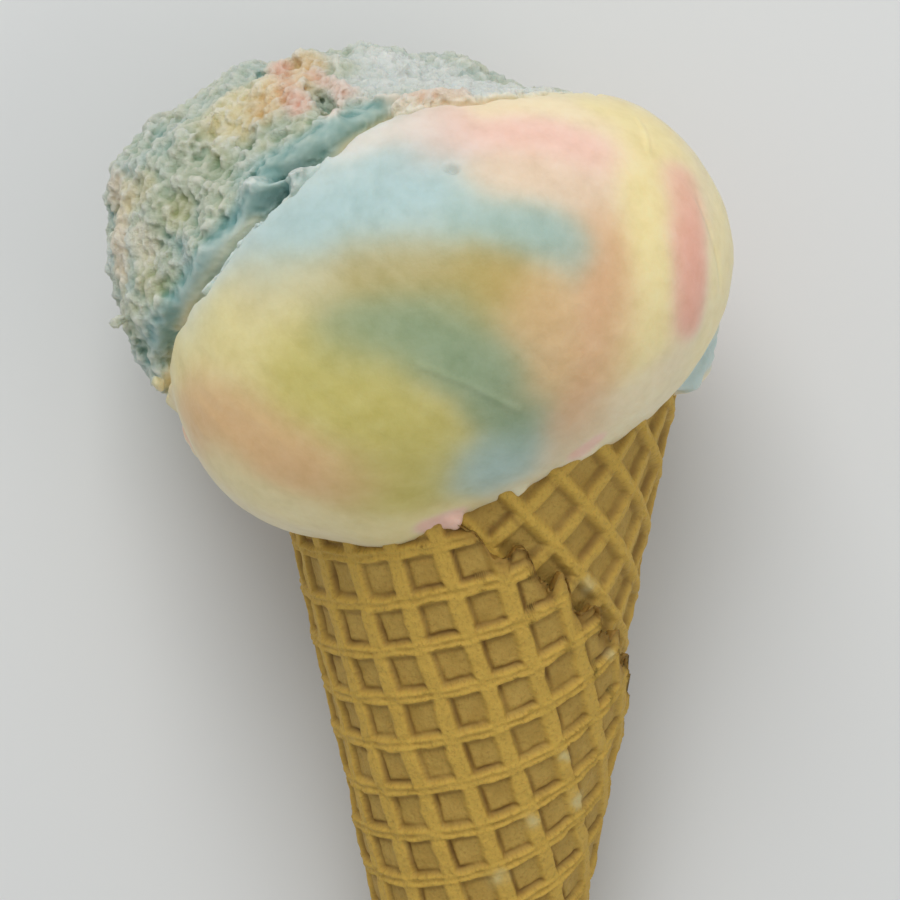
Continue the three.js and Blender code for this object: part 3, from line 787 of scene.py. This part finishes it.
# Painted shade: the torn grooves' floors and pits are darkened teal, partly also cream pressed denser there.
groove_shade = torn * np.clip(0.8 * calm_floor - 0.6 * standing - 0.2, 0, 1) * (1 - line_share(points, LIP, 0.8))
# The dye amounts kept here carry the painted shade of the torn side's pits and crests.
for name, values in zip(("pink_dye", "yellow_dye", "blue_dye"), dyes.T):
    keep_values(scoop, name, values)
keep_values(scoop, "torn", torn * (1 - 0.85 * calm_floor))
keep_values(scoop, "groove_shade", groove_shade)

# Frozen dairy cream: milk fat, air and fine ice. Light goes a few millimetres into it, so its
# shadows stay soft, and the pressed front has a dull sheen where the crystals melted.
CREAM = "#f8f4ea"
DYES_AND_GROOVE_SHADE = (                 # each kept value and its colour at full strength over the cream
    ("yellow_dye", "#f0dc80"),
    ("pink_dye", "#f0a395"),
    ("blue_dye", "#94c1d0"),
    # Painted shade: this last colour darkens the groove floors and pits.
    ("groove_shade", "#86b0ae"),
)
STIRRED_CLOUD = 2.381    # millimetres across a cloud of half mixed dye
FROST_GRAIN = 0.3846     # an ice crystal, drawn coarse enough to show
FROST_HEIGHT = 0.1
CRUMB_GRAIN = 0.4545     # the finest crumbs of the tear
CRUMB_HEIGHT = 0.5
cream = new_material("frozen_dairy_cream")
place = add(cream, "ShaderNodeTexCoord")
stirring = add(cream, "ShaderNodeTexNoise",
               {"Scale": 1 / (STIRRED_CLOUD * MM), "Detail": 3.0, "Roughness": 0.6},
               {"Vector": place.outputs["Object"]})
shade = None
for name, code in DYES_AND_GROOVE_SHADE:
    amount = add(cream, "ShaderNodeAttribute", {"attribute_name": name})
    marble = add(cream, "ShaderNodeMath", {"operation": "MULTIPLY_ADD", 1: 0.16, 2: -0.08},
                 {0: stirring.outputs["Fac"]})
    marbled = add(cream, "ShaderNodeMath", {"operation": "ADD", "use_clamp": True},
                  {0: marble.outputs[0], 1: amount.outputs["Fac"]})
    tinted = add(cream, "ShaderNodeMix", {"data_type": "RGBA", "blend_type": "MULTIPLY", 7: linear(code)},
               {0: marbled.outputs[0]})
    if shade:
        cream.node_tree.links.new(shade.outputs[2], tinted.inputs[6])
    else:
        tinted.inputs[6].default_value = linear(CREAM)
    shade = tinted
crystals = add(cream, "ShaderNodeTexNoise", {"Scale": 1 / (FROST_GRAIN * MM), "Detail": 2.0},
               {"Vector": place.outputs["Object"]})
frost = add(cream, "ShaderNodeBump", {"Strength": 0.25, "Distance": FROST_HEIGHT * MM},
            {"Height": crystals.outputs["Fac"]})
torn_part = add(cream, "ShaderNodeAttribute", {"attribute_name": "torn"})
crumbling = add(cream, "ShaderNodeTexNoise",
                {"Scale": 1 / (CRUMB_GRAIN * MM), "Detail": 4.0, "Roughness": 0.7},
                {"Vector": place.outputs["Object"]})
crumbled = add(cream, "ShaderNodeBump", {"Distance": CRUMB_HEIGHT * MM},
               {"Strength": torn_part.outputs["Fac"], "Height": crumbling.outputs["Fac"],
                "Normal": frost.outputs["Normal"]})
cream_surface = add(cream, "ShaderNodeBsdfPrincipled",
                    {"Roughness": 0.42, "Specular IOR Level": 0.4, "IOR": 1.35, "Subsurface Weight": 0.25,
                     "Subsurface Radius": (1.0, 0.7, 0.5), "Subsurface Scale": 3.0 * MM},
                    {"Base Color": shade.outputs[2], "Normal": crumbled.outputs["Normal"]})
add(cream, "ShaderNodeOutputMaterial", None, {"Surface": cream_surface.outputs["BSDF"]})
scoop.data.materials.append(cream)

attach(scoop, "root")
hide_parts("ice_cream")

# The table and the light
# A pale table top of painted board, whose matt skin shows only the soft shadow. Two plain soft
# studio lamps light it, the main one beyond the scoop. Lengths here are metres.
bpy.ops.mesh.primitive_plane_add(size=3.0, location=(0, 0, 0))
table = bpy.context.active_object
table.name = "table"
painted = new_material("pale_matt_paint")
painted_surface = add(painted, "ShaderNodeBsdfPrincipled",
                      {"Base Color": linear("#d8d8d6"), "Roughness": 0.8})
add(painted, "ShaderNodeOutputMaterial", None, {"Surface": painted_surface.outputs["BSDF"]})
table.data.materials.append(painted)

LAMPS = (                # name, place, size, watts
    ("key_lamp", (-0.08, 0.44, 0.62), 0.4, 2.9),
    ("side_lamp", (0.5, -0.3, 0.55), 0.4, 0.75),
)
LIT_PLACE = Vector((0, 0, 0.03))        # the middle of the scoop
for name, place, size, watts in LAMPS:
    lamp_data = bpy.data.lights.new(name, "AREA")
    lamp_data.size = size
    lamp_data.energy = watts
    lamp = bpy.data.objects.new(name, lamp_data)
    bpy.context.scene.collection.objects.link(lamp)
    lamp.location = place
    lamp.rotation_euler = (LIT_PLACE - lamp.location).to_track_quat("-Z", "Y").to_euler()

world = bpy.data.worlds.new("studio")
bpy.context.scene.world = world
world.use_nodes = True
world.node_tree.nodes["Background"].inputs["Color"].default_value = linear("#dfe3e6")
world.node_tree.nodes["Background"].inputs["Strength"].default_value = 0.7
bpy.context.scene.view_settings.view_transform = "Standard"
